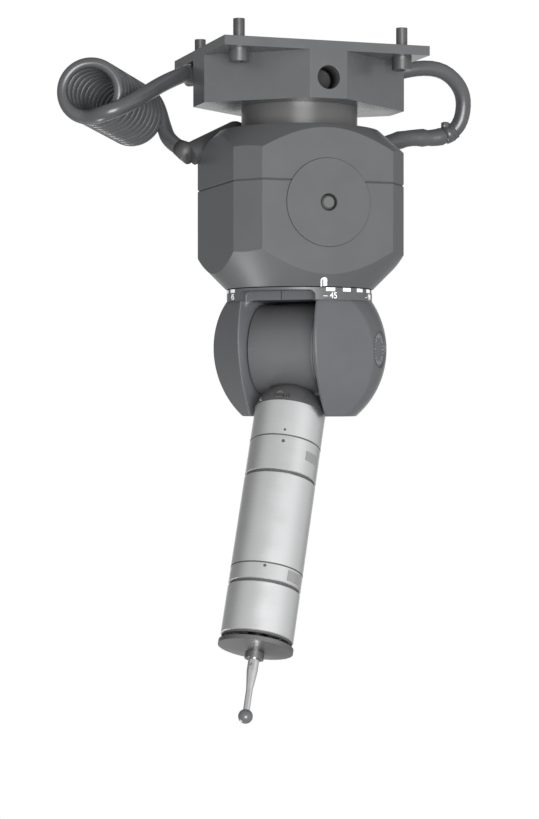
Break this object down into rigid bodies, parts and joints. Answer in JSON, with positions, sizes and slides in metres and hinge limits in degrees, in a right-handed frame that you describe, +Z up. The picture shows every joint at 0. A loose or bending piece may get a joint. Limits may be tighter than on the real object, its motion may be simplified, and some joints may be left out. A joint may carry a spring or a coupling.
{
  "type": "probe head",
  "caption": "Motorised indexing probe head for a measuring machine: swivelling fork, tilting probe barrel, scanning module with a sprung ball stylus and a coiled cord.",
  "frame": {"origin": "middle of the mounting plate's top face, which bolts to the machine's ram", "axes": "+Z up into the ram, front of the housing and its cover disc towards -Y, +X to the right of the front"},
  "size_m": [0.1564, 0.0884, 0.239],
  "materials": {
    "anodised_block": "matt grey anodised",
    "black_steel": "black oxide",
    "neck_metal": "dark anodised, satin",
    "housing_paint": "smooth satin grey",
    "disc_paint": "satin grey",
    "lens": "milky dome",
    "inner_steel": "machined",
    "drive_case": "black sealed case",
    "board": "circuit board",
    "bearing_steel": "ground",
    "fork_paint": "satin dark grey, brighter cheeks",
    "scale_paint": "dark grey with white dashes",
    "cap_paint": "satin dark grey",
    "drum_paint": "satin dark grey",
    "ruled_steel": "finely ruled",
    "collar_metal": "dark satin",
    "contact_gold": "plated",
    "barrel_steel": "fine turned, satin silver",
    "band_steel": "satin silver",
    "seal_rubber": "matt black",
    "holder_steel": "dark rim, polished underside",
    "stem_steel": "turned",
    "tip_ceramic": "polished dark ball",
    "cord_skin": "satin dark grey",
    "boot_rubber": "matt"
  },
  "bodies": {
    "housing": {"adapter_block": "anodised_block", "plate_screws": "black_steel", "clamp_screw": "black_steel", "mounting_neck": "neck_metal", "upper_housing": "housing_paint", "lower_housing": "housing_paint", "cover_disc": "disc_paint", "status_lamp": "lens", "chassis_plate": "inner_steel", "swivel_drive": "drive_case", "circuit_board": "board", "swivel_bearing": "bearing_steel", "fixed_index_ring": "bearing_steel", "left_boot": "boot_rubber", "right_boot": "boot_rubber", "left_plug": "boot_rubber", "right_plug": "boot_rubber", "cord_coil": "cord_skin", "cord_upper_run": "cord_skin", "cord_lower_run": "cord_skin", "right_cord": "cord_skin"},
    "fork": {"swivel_fork": "fork_paint", "scale_ring": "scale_paint", "left_side_cap": "cap_paint", "right_side_cap": "cap_paint", "left_tilt_bearing": "bearing_steel", "right_tilt_bearing": "bearing_steel", "swivel_spindle": "inner_steel", "moving_index_plate": "bearing_steel"},
    "probe": {"tilt_drum": "drum_paint", "drum_end_ring": "ruled_steel", "tilt_shaft": "inner_steel", "joint_collar": "collar_metal", "lock_cam": "band_steel", "contact_pins": "contact_gold", "adapter_barrel": "barrel_steel", "upper_band": "band_steel", "upper_seal": "seal_rubber", "probe_barrel": "barrel_steel", "lower_band": "band_steel", "lower_seal": "seal_rubber", "module_shell": "barrel_steel", "foot_ring": "seal_rubber"},
    "gimbal": {"gimbal_ring": "inner_steel"},
    "guide": {"guide_sleeve": "bearing_steel"},
    "stylus": {"stylus_holder": "holder_steel", "stylus_stem": "stem_steel", "stylus_ball": "tip_ceramic"}
  },
  "joints": [
    {"name": "swivel", "type": "hinge", "parent": "housing", "child": "fork", "pos_m": [0, 0, -0.08], "axis": [0, 0, 1], "range_deg": [-140, 220]},
    {"name": "tilt", "type": "hinge", "parent": "fork", "child": "probe", "pos_m": [0, 0, -0.1057], "axis": [-0.766, 0.6428, 0], "range_deg": [-22.5, 82.5]},
    {"name": "stylus_sway", "type": "hinge", "parent": "probe", "child": "gimbal", "pos_m": [-0.0246, -0.02932, -0.19809], "axis": [-0.766, 0.6428, 0], "range_deg": [-1.5, 1.5], "stiffness_Nm_per_rad": 0.7},
    {"name": "stylus_nod", "type": "hinge", "parent": "gimbal", "child": "guide", "pos_m": [-0.0246, -0.02932, -0.19809], "axis": [-0.5939, -0.7077, 0.3827], "range_deg": [-1.5, 1.5], "stiffness_Nm_per_rad": 0.7},
    {"name": "stylus_press", "type": "slide", "parent": "guide", "child": "stylus", "axis": [0.246, 0.2932, 0.9239], "range_m": [-0.001, 0.0006], "stiffness_N_per_m": 1500}
  ]
}
